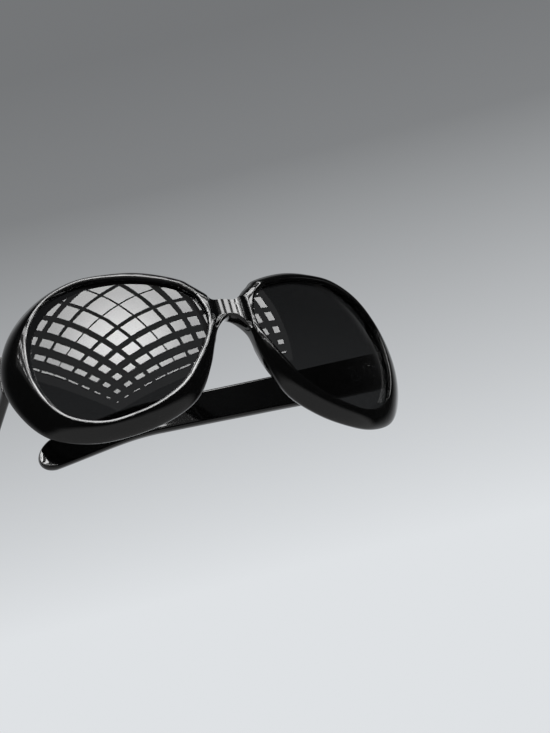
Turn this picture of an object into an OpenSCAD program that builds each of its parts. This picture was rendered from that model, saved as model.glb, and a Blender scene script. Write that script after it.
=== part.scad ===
// Oversized sunglasses with a thick moulded front, tinted lenses and broad temples.
// The front stands upright and looks along -Y. The left temple is folded behind it, the right one is open.
// The origin is on the surface that the pair stands on, under the middle of its box.
// Left and right are the wearer's: the left side has positive x.

/* [Lenses] */
// Width of a lens opening, across its crest line
lens_w = 61.3; // [54:0.1:66]
// Height of a lens opening, across its crest line
lens_h = 55; // [48:0.5:60]
// Distance between the two crest lines at the nose
bridge_w = 16.8; // [14:0.2:20]
// Thickness of a lens
lens_t = 2; // [1.6:0.1:2.4]
// Radius of the ball that a lens is cut from
lens_r = 85; // [76:1:110]
// How far the lens front lies behind the crest line, in the mean round the lens
lens_recess = 2.2; // [1.8:0.1:2.6]

/* [Front] */
// Radius of the front's wrap, seen from above
wrap_r = 122; // [100:1:160]
// Radius of the front's curve, seen from the side
rise_r = 295; // [220:5:400]
// Widest width of the rim round a lens
rim_w = 7.2; // [6:0.1:8.5]
// Height of the crest line in front of the rim's middle
crest_h = 2.8; // [2.2:0.1:3.4]
// Depth of the rim behind its middle
rim_back = 3.8; // [3.2:0.1:5]
// Height of the bridge, from its lower crest to its top
bridge_h = 7.8; // [6:0.1:9]
// Height of the bridge's lower crest above the lens centre
bridge_z = 6.8; // [5:0.1:9]

/* [Nose pads] */
// How far a nose pad stands out behind the rim
pad_h = 4.2; // [3:0.1:6]

/* [Temples] */
// Length of a temple from the hinge pin to the tip, along its middle
temple_l = 143; // [125:1:150]
// Height of a temple at its butt end
temple_h = 15; // [12:0.5:18]
// Thickness of a temple at its butt end
temple_t = 3.8; // [3.2:0.1:4.6]
// Slope of a temple below the level, in degrees
temple_slope = 10; // [6:0.5:12]
// Slope of the ear end, in degrees
ear_slope = 20; // [18:0.5:30]
// Length of the straight part, from the hinge pin to the ear bend
ear_start = 92; // [84:1:100]
// Length of the ear bend
ear_bend_l = 20; // [14:1:26]
// How far a temple bows towards the head at its tip
temple_bow = 2.4; // [1:0.1:3.5]
// Swing of the left temple from the line of the front, in degrees: folded at -1, open at 90
left_swing = -1; // [-1:0.5:90]
// Swing of the right temple from the line of the front, in degrees: folded at 4.5, open at 90
right_swing = 90; // [4.5:0.5:90]

/* [Hinges] */
// Height of the hinges above the lens centres
hinge_z = 1.5; // [-3:0.5:6]
// Radius of a hinge barrel
barrel_r = 1.35; // [1.25:0.05:1.45]
// Height of the whole hinge stack
stack_h = 8.4; // [7:0.2:10]
// Radius of the hinge screw's shank
pin_r = 0.6; // [0.5:0.02:0.7]
// Thickness of a hinge leaf
leaf_t = 0.9; // [0.7:0.05:1.1]
// Height of the front's hinge leaf
front_leaf_h = 14; // [12:0.5:15]
// Length of the temple's hinge leaf behind its barrel
temple_leaf_l = 12; // [9:0.5:15]
// Radius of a leaf screw's shank
fixing_r = 0.45; // [0.35:0.05:0.5]

/* [Core wires] */
// Length of the core wire in a temple
core_l = 112; // [90:1:120]
// Height of the core wire
core_h = 2.4; // [1.8:0.1:3]
// Thickness of the core wire
core_t = 1; // [0.8:0.1:1.2]

/* [Hidden] */

// Clearances and small sizes of the fits
pin_gap = 0.05;
barrel_gap = 0.15;
leaf_gap = 0.3;
butt_gap = 0.3;
lens_gap = 0.1;
core_gap = 0.1;
seat_gap = 0.02;
cut_over = 0.5;
round_fn = 48;

// Crest line of one lens, as shares of half its width and height, from the bridge's top
// over the brow to the temple side, then along the cheek and up the nose
crest_shares = [
    [-0.955, 0.475], [-0.91, 0.59], [-0.82, 0.69], [-0.70, 0.78], [-0.34, 0.915],
    [0, 0.98], [0.37, 0.985], [0.73, 0.81], [0.95, 0.44], [1, 0],
    [0.93, -0.43], [0.72, -0.80], [0.37, -0.985], [0, -0.95], [-0.31, -0.83],
    [-0.57, -0.635], [-0.77, -0.35], [-0.90, -0.12], [-0.98, 0.095], [-1, 0.30]];
// Width of the rim outside the crest at the stations from brow to nose, as shares of rim_w
brow_station = 3;
nose_station = 16;
rim_shares = [0.58, 0.55, 0.43, 0.36, 0.37, 0.66, 0.95, 0.9, 0.85, 0.7, 0.76, 0.85, 0.91, 0.72];
// Edge of the bridge: x in half bridge widths and z in half lens heights above its own crest
bridge_top_shares = [[0, 0], [0.72, 0.085], [1.27, 0.23]];
bridge_low_shares = [[0.93, -0.375], [0.68, -0.16], [0, 0]];
// How far the outer edge drops behind the crest, from 0 at the crest to 1 at the full bevel
edge_shares = [0.35, 0.6, 0.8, 0.95, 1, 1, 1, 1, 1, 1, 1, 1, 1, 1, 1, 1, 0.9, 0.6, 0.22, 0];
station_steps = 4;

// Profile of the rim: shares of the way from the crest to the outer edge
face_shares = [0.2, 0.45, 0.7];
face_round = 1.5;
flare = 0.9;
// Width of the crest outside its line, and radius of its rounding towards the lens
ridge_w = 0.35;
ridge_r = 0.7;
ridge_angles = [0, 45, 90];
lip_share = 0.7;
groove_d = 1.2;
lens_bite = 1.05;
edge_drop = 1.8;
// Rounding of the outer edge, in front and behind
edge_round = 0.7;
back_round = 1.3;
back_lip = 0.45;
// Where the side wall turns in, as shares of its depth and of the rounding behind
wall_share = 0.45;
turn_share = 0.88;
turn_in_share = 0.3;

// Where the front widens at its back to carry a hinge
lug_h = 15;
lug_blend = 7;
lug_inner_share = 0.88;

// Sizes that follow from the ones above
lens_x = (lens_w + bridge_w) / 2;
half_w = lens_w / 2;
half_h = lens_h / 2;
spokes = len(crest_shares) * station_steps;
outer_spokes = (len(crest_shares) - 1) * station_steps;

// Blend and spline helpers
function mix(a, b, t) = a + (b - a) * t;
function smooth(t) = let (c = max(0, min(1, t))) c * c * (3 - 2 * c);
function unit(v) = v / norm(v);
function knot(a, b, c, d, t) =
    0.5 * (2 * b + (c - a) * t + (2 * a - 5 * b + 4 * c - d) * t * t + (3 * b - a - 3 * c + d) * t * t * t);
function mirrored(p) = [-p[0], p[1]];

// Depth of the wrapped surface that the front follows
function wrap_y(x, z) = x * x / (2 * wrap_r) + z * z / (2 * rise_r);

// Depth of a lens front: a ball, square to the wrapped surface at the lens centre,
// set so that it lies lens_recess behind the crest line in the mean of the lens's four ends
wrap_a = atan(lens_x / wrap_r);
function ball_y(x, z) =
    lens_r * cos(wrap_a) - sqrt(pow(lens_r, 2) - pow(x - lens_x + lens_r * sin(wrap_a), 2) - pow(z, 2));
function over_wrap(x, z) = ball_y(x, z) - wrap_y(x, z);
lens_seat = (over_wrap(lens_x - half_w, 0) + over_wrap(lens_x + half_w, 0)
             + over_wrap(lens_x, -half_h) + over_wrap(lens_x, half_h)) / 4;
function lens_y(x, z) = ball_y(x, z) - lens_seat + lens_recess - crest_h;

// Crest line at a spoke, from the centre of its lens, then from the middle of the front
function crest_at(i) =
    let (n = len(crest_shares), k = floor(i / station_steps) % n, t = i / station_steps - floor(i / station_steps),
         s = [for (j = [-1:2]) crest_shares[(k + j + n) % n]], p = knot(s[0], s[1], s[2], s[3], t))
    [p[0] * half_w, p[1] * half_h];
crest = [for (i = [0:spokes - 1]) crest_at(i)];
function on_front(p) = [lens_x + p[0], p[1]];
function inward(i) = -unit(crest[i]);

// Stations of the outer edge, from the bridge's top round the lens to the bridge's underside
bridge_top_z = bridge_z + bridge_h;
function bridge_point(share, z) = [share[0] * bridge_w / 2, z + share[1] * half_h];
edge_stations = concat(
    [for (s = bridge_top_shares) bridge_point(s, bridge_top_z)],
    [for (i = [brow_station:nose_station])
        let (c = [crest_shares[i][0] * half_w, crest_shares[i][1] * half_h])
        on_front(c + unit(c) * rim_w * rim_shares[i - brow_station])],
    [for (s = bridge_low_shares) bridge_point(s, bridge_z)]);
last_edge = len(edge_stations) - 1;
function station(i) =
    i < 0 ? mirrored(edge_stations[-i]) :
    i > last_edge ? mirrored(edge_stations[2 * last_edge - i]) : edge_stations[i];
function edge_at(i) =
    let (k = min(last_edge - 1, floor(i / station_steps)), t = i / station_steps - k)
    knot(station(k - 1), station(k), station(k + 1), station(k + 2), t);
edge = [for (i = [0:outer_spokes]) edge_at(i)];
function edge_share_at(i) =
    let (k = min(last_edge - 1, floor(i / station_steps))) mix(edge_shares[k], edge_shares[k + 1], i / station_steps - k);
// Direction from the outer edge into the rim
function edge_inward(i) =
    let (a = i == 0 ? mirrored(edge[1]) : edge[i - 1],
         b = i == outer_spokes ? mirrored(edge[i - 1]) : edge[i + 1], d = unit(b - a))
    [d[1], -d[0]];

// Hinge places, seen from the middle of the front
pin_to_face = barrel_r + leaf_gap;
pin_to_butt = leaf_t + leaf_gap + barrel_r - butt_gap;
lug_y = wrap_y(lens_x + half_w + rim_w, 0) + lug_inner_share * rim_back - ridge_w;
pin_y = lug_y + butt_gap + pin_to_butt;
pin_x = lens_x + half_w + rim_w * rim_shares[9 - brow_station] - temple_t - pin_to_face;

// Back of the front: it runs level with the rim and swells to the lug behind the hinge
function back_y(x, z) =
    let (plain = wrap_y(x, z) + rim_back, side = smooth((x - lens_x - half_w / 2) / (half_w / 4)),
         level = 1 - smooth((abs(z - hinge_z) - lug_h / 2) / lug_blend))
    mix(plain, lug_y, side * level);

// Points of one rim profile: [x, y, z] on the side where x is positive
function flat_point(p, y) = [p[0], y, p[1]];
function over(p, y) = [p[0], wrap_y(p[0], p[1]) + y, p[1]];
function over_lens(p, y) = [p[0], lens_y(p[0], p[1]) + y, p[1]];
function face_fall(w) = 1 - pow(1 - pow(w, face_round), 1 / face_round);
// How thick the rim's front is between the crest and the groove, which limits the rounding of the crest
function lip_at(p) = over_wrap(p[0], p[1]) - lens_seat + lens_recess - lens_gap;
function wall_points(i) =
    let (c = on_front(crest[i]), e = inward(i), lens_edge = c + e * flare, deep = c + e * (flare - groove_d),
         back = back_y(lens_edge[0], lens_edge[1]), ridge_d = min(ridge_r, lip_share * lip_at(lens_edge)))
    concat([flat_point(lens_edge, back - back_lip), over_lens(lens_edge, lens_t + lens_gap),
            over_lens(deep, lens_t + lens_gap), over_lens(deep, -lens_gap), over_lens(lens_edge, -lens_gap)],
        [for (a = ridge_angles) over(c + e * ridge_r * cos(a), ridge_d * (1 - sin(a)) - crest_h)],
        [over(c - e * ridge_w, -crest_h)]);
function back_inner(i) =
    let (p = on_front(crest[i]) + inward(i) * (flare - back_lip)) flat_point(p, back_y(p[0], p[1]));
// The face falls from the crest to the start of the edge's rounding, which drops a little more
function near_edge(i, o) = 1 - edge_round / norm(o - on_front(crest[i]) + inward(i) * ridge_w);
function edge_depth(i, o, drop) = max(drop, drop * face_fall(near_edge(i, o)) + edge_round) - crest_h;
function face_points(i, o, start, drop) =
    let (c = on_front(crest[i]) - inward(i) * ridge_w, near = near_edge(i, o))
    [for (w = concat(face_shares, [1])) over(mix(c, start, w), drop * face_fall(w * near) - crest_h)];
function rim_profile(i) =
    let (o = edge[i], n = edge_inward(i), drop = (crest_h + edge_drop) * edge_share_at(i),
         side = o + n * back_round * turn_in_share, rear = o + n * back_round,
         rear_y = back_y(rear[0], rear[1]), edge_y = wrap_y(o[0], o[1]) + edge_depth(i, o, drop))
    concat(wall_points(i), face_points(i, o, o + n * edge_round, drop),
        [flat_point(o, edge_y), flat_point(o, mix(edge_y, rear_y, wall_share)),
         flat_point(side, mix(edge_y, rear_y, turn_share)), flat_point(rear, rear_y), back_inner(i)]);
// A spoke across the bridge ends on the middle plane, between the bridge's underside and its top;
// the points between its front and its back aren't used
function bridge_profile(i) =
    let (t = (i - outer_spokes) / (spokes - outer_spokes), low = rim_profile(outer_spokes), top = rim_profile(0),
         o = [0, mix(edge[outer_spokes][1], edge[0][1], t)],
         start = [0, mix(low[first_mid][2], top[first_mid][2], t)], rear_z = mix(low[last_mid][2], top[last_mid][2], t),
         drop = (crest_h + edge_drop) * mix(edge_shares[last_edge], edge_shares[0], t * t))
    concat(wall_points(i), face_points(i, o, start, drop),
        [for (j = [first_mid + 1:last_mid - 1]) low[j]], [flat_point([0, rear_z], back_y(0, rear_z)), back_inner(i)]);
profile_n = 18;
first_mid = 12;
last_mid = 16;
rim_points = concat([for (i = [0:outer_spokes]) each rim_profile(i)],
                    [for (i = [outer_spokes + 1:spokes - 1]) each bridge_profile(i)]);

// Faces of the two rims, which share the points on the middle plane
function on_middle(i, j) = (i == 0 || i >= outer_spokes) && j >= first_mid && j <= last_mid;
function rim_index(side, i, j) =
    let (a = (i % spokes) * profile_n + j % profile_n) side > 0 || on_middle(i % spokes, j % profile_n)
    ? a : a + spokes * profile_n;
function rim_quads(side) = [for (i = [0:spokes - 1], j = [0:profile_n - 1])
    if (i < outer_spokes || j < first_mid || j >= last_mid)
        let (a = rim_index(side, i, j), b = rim_index(side, i + 1, j), c = rim_index(side, i + 1, j + 1),
             d = rim_index(side, i, j + 1))
        side > 0 ? [d, c, b, a] : [a, b, c, d]];
function split(q) = [[q[0], q[1], q[2]], [q[0], q[2], q[3]]];

// Everything is drawn from the middle of the front, then stood on its lowest points
module stand() translate([0, -rest_y, rest_h]) children();
module side_of(side) mirror([side > 0 ? 0 : 1, 0, 0]) children();

module front_shape() {
    flip = [for (p = rim_points) [-p[0], p[1], p[2]]];
    polyhedron(concat(rim_points, flip),
               [for (q = concat(rim_quads(1), rim_quads(-1))) each split(q)], convexity = 10);
}

// Lenses
lens_ring_shares = [0.35, 0.65, 0.86, 1];
function lens_rim(i) = crest[i] + inward(i) * (flare - lens_bite);
function lens_ring(share, y) = [for (i = [0:spokes - 1]) over_lens(on_front(lens_rim(i) * share), y)];
module lens() {
    n = spokes;
    rings = len(lens_ring_shares);
    points = concat([over_lens([lens_x, 0], 0)], [for (s = lens_ring_shares) each lens_ring(s, 0)],
                    [for (k = [rings - 1:-1:0]) each lens_ring(lens_ring_shares[k], lens_t)],
                    [over_lens([lens_x, 0], lens_t)]);
    last = len(points) - 1;
    polyhedron(points, concat(
        [for (i = [0:n - 1]) [0, 1 + i, 1 + (i + 1) % n]],
        [for (k = [0:2 * rings - 2], i = [0:n - 1]) let (a = 1 + k * n + i, b = 1 + k * n + (i + 1) % n)
            each split([a, a + n, b + n, b])],
        [for (i = [0:n - 1]) [last, 1 + (2 * rings - 1) * n + (i + 1) % n, 1 + (2 * rings - 1) * n + i]]),
        convexity = 4);
}
module left_lens() color("#26282c", 0.6) stand() lens();
module right_lens() color("#26282c", 0.6) stand() side_of(-1) lens();

// Nose pads: domes bonded to the back of the rims beside the nose
// They run along the rim between two stations, and their crowns lean away from the nose
pad_low_station = 14.75;
pad_top_station = 18;
pad_first = pad_low_station * station_steps;
pad_last = pad_top_station * station_steps;
pad_lean = 0.7;
pad_round = 0.7;
pad_rows = 13;
pad_cols = 6;
pad_inner_share = 0.82;
function pad_base(i, w) =
    let (a = edge[i] + edge_inward(i) * back_round, b = on_front(crest[i]) + inward(i) * (flare - back_lip))
    mix(a, b, w * pad_inner_share);
function pad_point(u, w, raise) =
    let (i = round(mix(pad_first, pad_last, u)), p = pad_base(i, w),
         dome = pow(sin(180 * u), pad_round) * pow(sin(180 * w), pad_round))
    [p[0] + pad_lean * dome * raise, back_y(p[0], p[1]) + seat_gap + pad_h * dome * raise, p[1]];
module nose_pad() {
    cols = pad_cols + 1;
    count = (pad_rows + 1) * cols;
    points = concat([for (r = [0:pad_rows], c = [0:pad_cols]) pad_point(r / pad_rows, c / pad_cols, 1)],
                    [for (r = [0:pad_rows], c = [0:pad_cols]) pad_point(r / pad_rows, c / pad_cols, 0)]);
    inside = [for (r = [0:pad_rows], c = [0:pad_cols]) r > 0 && r < pad_rows && c > 0 && c < pad_cols];
    // The two sheets meet at their rims, so the lower sheet borrows the upper one's border
    function low(r, c) = inside[r * cols + c] ? count + r * cols + c : r * cols + c;
    polyhedron(points, concat(
        [for (r = [0:pad_rows - 1], c = [0:pad_cols - 1])
            each split([r * cols + c, r * cols + c + 1, (r + 1) * cols + c + 1, (r + 1) * cols + c])],
        [for (r = [0:pad_rows - 1], c = [0:pad_cols - 1])
            each split([low(r + 1, c), low(r + 1, c + 1), low(r, c + 1), low(r, c)])]), convexity = 4);
}
module left_nose_pad() color("#101012") stand() nose_pad();
module right_nose_pad() color("#101012") stand() side_of(-1) nose_pad();

// Temple path: level distance from the pin, height at the middle and slope, at a length along it
ear_r = ear_bend_l / ((ear_slope - temple_slope) * PI / 180);
function path_slope(s) =
    s <= ear_start ? temple_slope :
    s >= ear_start + ear_bend_l ? ear_slope : temple_slope + (ear_slope - temple_slope) * (s - ear_start) / ear_bend_l;
bend_from = [ear_start * cos(temple_slope), -ear_start * sin(temple_slope)];
function on_bend(a) = bend_from + ear_r * [sin(a) - sin(temple_slope), cos(a) - cos(temple_slope)];
function path_at(s) =
    s <= ear_start ? [s * cos(temple_slope), -s * sin(temple_slope)] :
    s < ear_start + ear_bend_l ? on_bend(path_slope(s)) :
    on_bend(ear_slope) + (s - ear_start - ear_bend_l) * [cos(ear_slope), -sin(ear_slope)];

// Temple section: height and thickness along the blade, as shares of those at the butt
height_shares = [[0, 1], [0.16, 0.97], [0.3, 0.9], [0.5, 0.85], [0.7, 0.82], [0.86, 0.8], [1, 0.77]];
tip_l = 8;
butt_edge = 0.3;
tip_t_share = 0.86;
tip_flat_share = 0.35;
corner_share = 0.36;
corner_h_share = 0.45;
corner_steps = 4;
butt_s = -pin_to_butt / cos(temple_slope);
function lookup_share(table, t) = lookup(t, table);
function tip_round(s) = let (t = max(0, (s - temple_l + tip_l) / tip_l)) sqrt(max(0, 1 - t * t));
function blade_h(s) = temple_h * lookup_share(height_shares, max(0, s) / temple_l) * tip_round(s);
function blade_t(s) = temple_t * mix(1, tip_t_share, smooth(s / temple_l)) * mix(tip_round(s), 1, tip_flat_share);
function bow_y(s) = -temple_bow * pow(max(0, s - 2 * temple_leaf_l) / (temple_l - 2 * temple_leaf_l), 2);
// A ring of a rounded section in the plane across the blade: v is the thickness, z the height
function round_ring(h, t, v0) =
    let (r = min(corner_share * t, corner_h_share * h))
    [for (q = [0:3], k = [0:corner_steps - 1])
        let (a = 90 * q + 90 * k / (corner_steps - 1), cv = (q == 0 || q == 3) ? t / 2 - r : r - t / 2,
             cz = q < 2 ? h / 2 - r : r - h / 2)
        [v0 + cv + r * cos(a), cz + r * sin(a)]];
ring_n = 4 * corner_steps;
bend_over_share = 1.1;
blade_shares = [0.06, 0.15, 0.26, 0.37, 0.48, 0.59, 0.7, 0.8, 0.9];
ear_shares = [0, 0.12, 0.25, 0.38, 0.5, 0.62, 0.75, 0.88, 1];
tip_shares = [0, 0.25, 0.5, 0.7, 0.85, 0.95, 0.995];
blade_stations = concat(
    [butt_s, butt_s + butt_edge],
    [for (t = blade_shares) mix(butt_s, ear_start, t)],
    [for (t = ear_shares) mix(ear_start, ear_start + bend_over_share * ear_bend_l, t)],
    [for (t = tip_shares) temple_l - tip_l + tip_l * t]);
// Points from the pin: x runs along the folded blade, y from the inner face to the outer one
function blade_ring(s) =
    let (p = path_at(s), cut = s == butt_s ? butt_edge : 0, v0 = pin_to_face + blade_t(0) / 2 + bow_y(s))
    [for (q = round_ring(blade_h(s) - 2 * cut, blade_t(s) - 2 * cut, v0)) [p[0], q[0], p[1] + q[1]]];
function core_ring(s, gap) =
    let (p = path_at(s), v0 = pin_to_face + blade_t(0) / 2 + bow_y(s))
    [for (q = round_ring(core_h + 2 * gap, core_t + 2 * gap, v0)) [p[0], q[0], p[1] + q[1]]];
core_shares = [0, 0.1, 0.2, 0.3, 0.4, 0.5, 0.6, 0.7, 0.76, 0.82, 0.88, 0.94, 1];
core_from = butt_s + core_t;
core_stations = [for (t = core_shares) mix(core_from, core_from + core_l, t)];
channel_stations = concat([butt_s], [for (i = [1:len(core_stations) - 1]) core_stations[i]],
                          [core_from + core_l + core_gap]);
blade_points = [for (s = blade_stations) each blade_ring(s)];
channel_points = [for (s = channel_stations) each core_ring(s, core_gap)];

function tube_quads(rings, first, outward) = [for (k = [0:rings - 2], j = [0:ring_n - 1])
    let (a = first + k * ring_n + j, b = first + k * ring_n + (j + 1) % ring_n, c = b + ring_n, d = a + ring_n)
    outward ? [d, c, b, a] : [a, b, c, d]];
function cap(first, outward) = [for (j = [1:ring_n - 2])
    outward ? [first, first + j + 1, first + j] : [first, first + j, first + j + 1]];

// A blade with the channel of its core wire, which opens at the butt
module blade() {
    n_blade = len(blade_stations);
    n_channel = len(channel_stations);
    first = n_blade * ring_n;
    polyhedron(concat(blade_points, channel_points), concat(
        [for (q = tube_quads(n_blade, 0, true)) each split(q)],
        [for (q = tube_quads(n_channel, first, false)) each split(q)],
        [for (j = [0:ring_n - 1]) each split([(j + 1) % ring_n, first + (j + 1) % ring_n, first + j, j])],
        cap((n_blade - 1) * ring_n, true), cap(first + (n_channel - 1) * ring_n, false)), convexity = 6);
}
module core_wire() {
    points = [for (s = core_stations) each core_ring(s, 0)];
    rings = len(core_stations);
    polyhedron(points, concat([for (q = tube_quads(rings, 0, true)) each split(q)],
        cap(0, false), cap((rings - 1) * ring_n, true)), convexity = 4);
}

// Places a piece of a temple on its hinge: folded, the left one lies in front of the right one
function swing(side) = side > 0 ? left_swing : right_swing;
module on_temple(side)
    side_of(side) translate([pin_x, pin_y, hinge_z]) rotate([0, 0, -swing(side)]) mirror([1, 0, 0]) children();
function swung_y(p, side) = pin_y + p[0] * sin(swing(side)) + p[1] * cos(swing(side));
lowest_z = min(min([for (p = rim_points) p[2]]), hinge_z + min([for (p = blade_points) p[2]]));
front_y = min([for (p = rim_points) p[1]]);
rear_y = max([for (side = [-1, 1], p = blade_points) swung_y(p, side)]);
rest_h = -lowest_z;
rest_y = (front_y + rear_y) / 2;

// Hinges: two barrels on the front and one between them on the temple, all round one screw
middle_h = stack_h / 3;
outer_h = (stack_h - middle_h) / 2 - barrel_gap;
outer_z = middle_h / 2 + barrel_gap;
bore_r = pin_r + pin_gap;
front_leaf_w = 2 * (barrel_r + leaf_gap) - butt_gap;
leaf_screw_z = (stack_h + front_leaf_h) / 4;
temple_leaf_share = 0.78;
temple_leaf_h = temple_leaf_share * stack_h;
leaf_start = barrel_r + butt_gap;
screw_shares = [0.45, 0.8];
temple_screws = [[screw_shares[0] * temple_leaf_l, 1], [screw_shares[1] * temple_leaf_l, -1]];
temple_screw_z = core_h / 2 + core_gap + fixing_r + leaf_gap / 2;
fixing_share = 0.62;
fixing_l = fixing_share * temple_t;
head_r = 2 * fixing_r;
head_t = leaf_t / 2;
slot_w = pin_r / 2;

// A leaf screw along +Y: its head is sunk in the leaf, which starts at y = 0
module leaf_screw_cut() {
    rotate([-90, 0, 0]) cylinder(h = leaf_t + cut_over, r = fixing_r + pin_gap, $fn = round_fn);
    translate([0, -cut_over, 0]) rotate([-90, 0, 0])
        cylinder(h = head_t + cut_over, r = head_r + pin_gap, $fn = round_fn);
}
module leaf_screw_hole() rotate([-90, 0, 0])
    cylinder(h = leaf_t + fixing_l + core_gap, r = fixing_r + pin_gap, $fn = round_fn);
module leaf_screw() difference() {
    union() {
        rotate([-90, 0, 0]) cylinder(h = leaf_t + fixing_l, r = fixing_r, $fn = round_fn);
        rotate([-90, 0, 0]) cylinder(h = head_t - seat_gap, r = head_r, $fn = round_fn);
    }
    translate([-head_r - cut_over, -cut_over, -slot_w / 2]) cube([2 * (head_r + cut_over), cut_over + head_t / 2, slot_w]);
}

// Front hinge, drawn from its pin: a leaf on the back of the lug carries the two outer barrels
leaf_face_y = -barrel_r - leaf_gap;
module front_hinge() {
    difference() {
        union() {
            translate([-front_leaf_w / 2 - butt_gap / 2, leaf_face_y - leaf_t + seat_gap, -front_leaf_h / 2])
                cube([front_leaf_w, leaf_t - seat_gap, front_leaf_h]);
            for (z = [outer_z, -outer_z - outer_h]) translate([0, 0, z]) {
                cylinder(h = outer_h, r = barrel_r, $fn = round_fn);
                translate([-barrel_r, leaf_face_y - leaf_t / 2, 0]) cube([2 * barrel_r, leaf_t / 2 - leaf_face_y, outer_h]);
            }
        }
        translate([0, 0, -stack_h]) cylinder(h = 2 * stack_h, r = bore_r, $fn = round_fn);
        for (z = [-leaf_screw_z, leaf_screw_z]) at_front_screw(z) leaf_screw_cut();
    }
}
module at_front_screw(z) translate([-butt_gap / 2, leaf_face_y, z]) mirror([0, 1, 0]) children();
module on_front_hinge(side) side_of(side) translate([pin_x, pin_y, hinge_z]) children();
module front_leaf_screws() for (z = [-leaf_screw_z, leaf_screw_z]) at_front_screw(z) leaf_screw();

// Temple hinge, drawn from its pin: a barrel and a leaf on the temple's inner face
module temple_hinge() {
    difference() {
        union() {
            translate([0, 0, -middle_h / 2]) cylinder(h = middle_h, r = barrel_r, $fn = round_fn);
            translate([0, pin_to_face - leaf_t, -middle_h / 2]) cube([2 * leaf_start, leaf_t - seat_gap, middle_h]);
            rotate([0, temple_slope, 0]) translate([leaf_start, pin_to_face - leaf_t, -temple_leaf_h / 2])
                cube([temple_leaf_l - leaf_start, leaf_t - seat_gap, temple_leaf_h]);
        }
        translate([0, 0, -stack_h]) cylinder(h = 2 * stack_h, r = bore_r, $fn = round_fn);
        for (p = temple_screws) at_temple_screw(p) leaf_screw_cut();
    }
}
module at_temple_screw(p)
    rotate([0, temple_slope, 0]) translate([p[0], pin_to_face - leaf_t, p[1] * temple_screw_z]) children();
module temple_leaf_screws() for (p = temple_screws) at_temple_screw(p) leaf_screw();

// Hinge screw: a slotted head on the top barrel and a shank through all three barrels
module hinge_screw() difference() {
    union() {
        translate([0, 0, -stack_h / 2]) cylinder(h = stack_h + head_t, r = pin_r, $fn = round_fn);
        translate([0, 0, outer_z + outer_h + seat_gap]) cylinder(h = head_t + seat_gap, r = 2 * pin_r, $fn = round_fn);
    }
    translate([-2 * pin_r - cut_over, -slot_w / 2, outer_z + outer_h + head_t / 2])
        cube([4 * pin_r + 2 * cut_over, slot_w, leaf_t]);
}

// The nodes
module front_frame() color("#0b0b0d") stand() difference() {
    front_shape();
    for (side = [-1, 1]) on_front_hinge(side) for (z = [-leaf_screw_z, leaf_screw_z]) at_front_screw(z) leaf_screw_hole();
}
module temple(side) on_temple(side) difference() {
    blade();
    for (p = temple_screws) at_temple_screw(p) leaf_screw_hole();
}
module left_temple() color("#0b0b0d") stand() temple(1);
module right_temple() color("#0b0b0d") stand() temple(-1);
module left_core_wire() color("#b8babd") stand() on_temple(1) core_wire();
module right_core_wire() color("#b8babd") stand() on_temple(-1) core_wire();
module left_front_hinge() color("#b8babd") stand() on_front_hinge(1) front_hinge();
module right_front_hinge() color("#b8babd") stand() on_front_hinge(-1) front_hinge();
module left_front_leaf_screws() color("#9a9ca0") stand() on_front_hinge(1) front_leaf_screws();
module right_front_leaf_screws() color("#9a9ca0") stand() on_front_hinge(-1) front_leaf_screws();
module left_temple_hinge() color("#b8babd") stand() on_temple(1) temple_hinge();
module right_temple_hinge() color("#b8babd") stand() on_temple(-1) temple_hinge();
module left_temple_leaf_screws() color("#9a9ca0") stand() on_temple(1) temple_leaf_screws();
module right_temple_leaf_screws() color("#9a9ca0") stand() on_temple(-1) temple_leaf_screws();
module left_hinge_screw() color("#9a9ca0") stand() on_front_hinge(1) hinge_screw();
module right_hinge_screw() color("#9a9ca0") stand() on_front_hinge(-1) hinge_screw();

front_frame();
right_lens();
left_lens();
right_nose_pad();
left_nose_pad();
right_front_hinge();
left_front_hinge();
right_front_leaf_screws();
left_front_leaf_screws();
right_hinge_screw();
left_hinge_screw();
right_temple();
left_temple();
right_temple_hinge();
left_temple_hinge();
right_temple_leaf_screws();
left_temple_leaf_screws();
right_core_wire();
left_core_wire();
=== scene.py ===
"""Oversized sunglasses of polished black acetate with tinted lenses, dressed and lit.

Every length is in metres. The front stands upright and looks along -Y, the left temple
is folded behind it and the right one is open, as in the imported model.
"""

from __future__ import annotations

import logging
import math
from dataclasses import dataclass, field
from enum import Enum
from typing import Callable

import bmesh
import bpy
import numpy as np
from bpy.types import Material, NodeSocket, Object, ShaderNode
from mathutils import Matrix, Vector


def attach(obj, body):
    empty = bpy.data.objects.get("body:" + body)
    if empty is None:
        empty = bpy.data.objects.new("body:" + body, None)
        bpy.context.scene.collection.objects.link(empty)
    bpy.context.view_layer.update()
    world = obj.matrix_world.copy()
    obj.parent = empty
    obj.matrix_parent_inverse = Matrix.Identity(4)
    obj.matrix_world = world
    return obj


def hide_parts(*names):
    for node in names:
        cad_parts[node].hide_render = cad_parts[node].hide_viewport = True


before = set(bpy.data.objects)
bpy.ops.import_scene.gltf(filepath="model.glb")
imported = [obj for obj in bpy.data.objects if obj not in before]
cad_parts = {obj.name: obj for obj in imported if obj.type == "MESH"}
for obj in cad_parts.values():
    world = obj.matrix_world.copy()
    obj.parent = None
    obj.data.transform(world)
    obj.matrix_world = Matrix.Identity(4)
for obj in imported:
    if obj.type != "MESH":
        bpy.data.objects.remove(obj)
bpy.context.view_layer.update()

log = logging.getLogger("sunglasses")

MM = 0.001
WHITE = (1.0, 1.0, 1.0, 1.0)
POLYMER_IOR = 1.5
FIXING_EDGE = 0.03 * MM
PIN_EDGE = 0.04 * MM


class Body(Enum):
    """The bodies that a piece can ride on."""

    FRONT = "front"
    LEFT = "left_temple"
    RIGHT = "right_temple"


class Slot(Enum):
    """The material slots of the part."""

    ACETATE = "black_gloss_plastic"
    LENS = "tinted_lens"
    PAD = "pad_plastic"
    HINGE = "hinge_steel"
    SCREW = "screw_steel"
    CORE = "core_steel"


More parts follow.
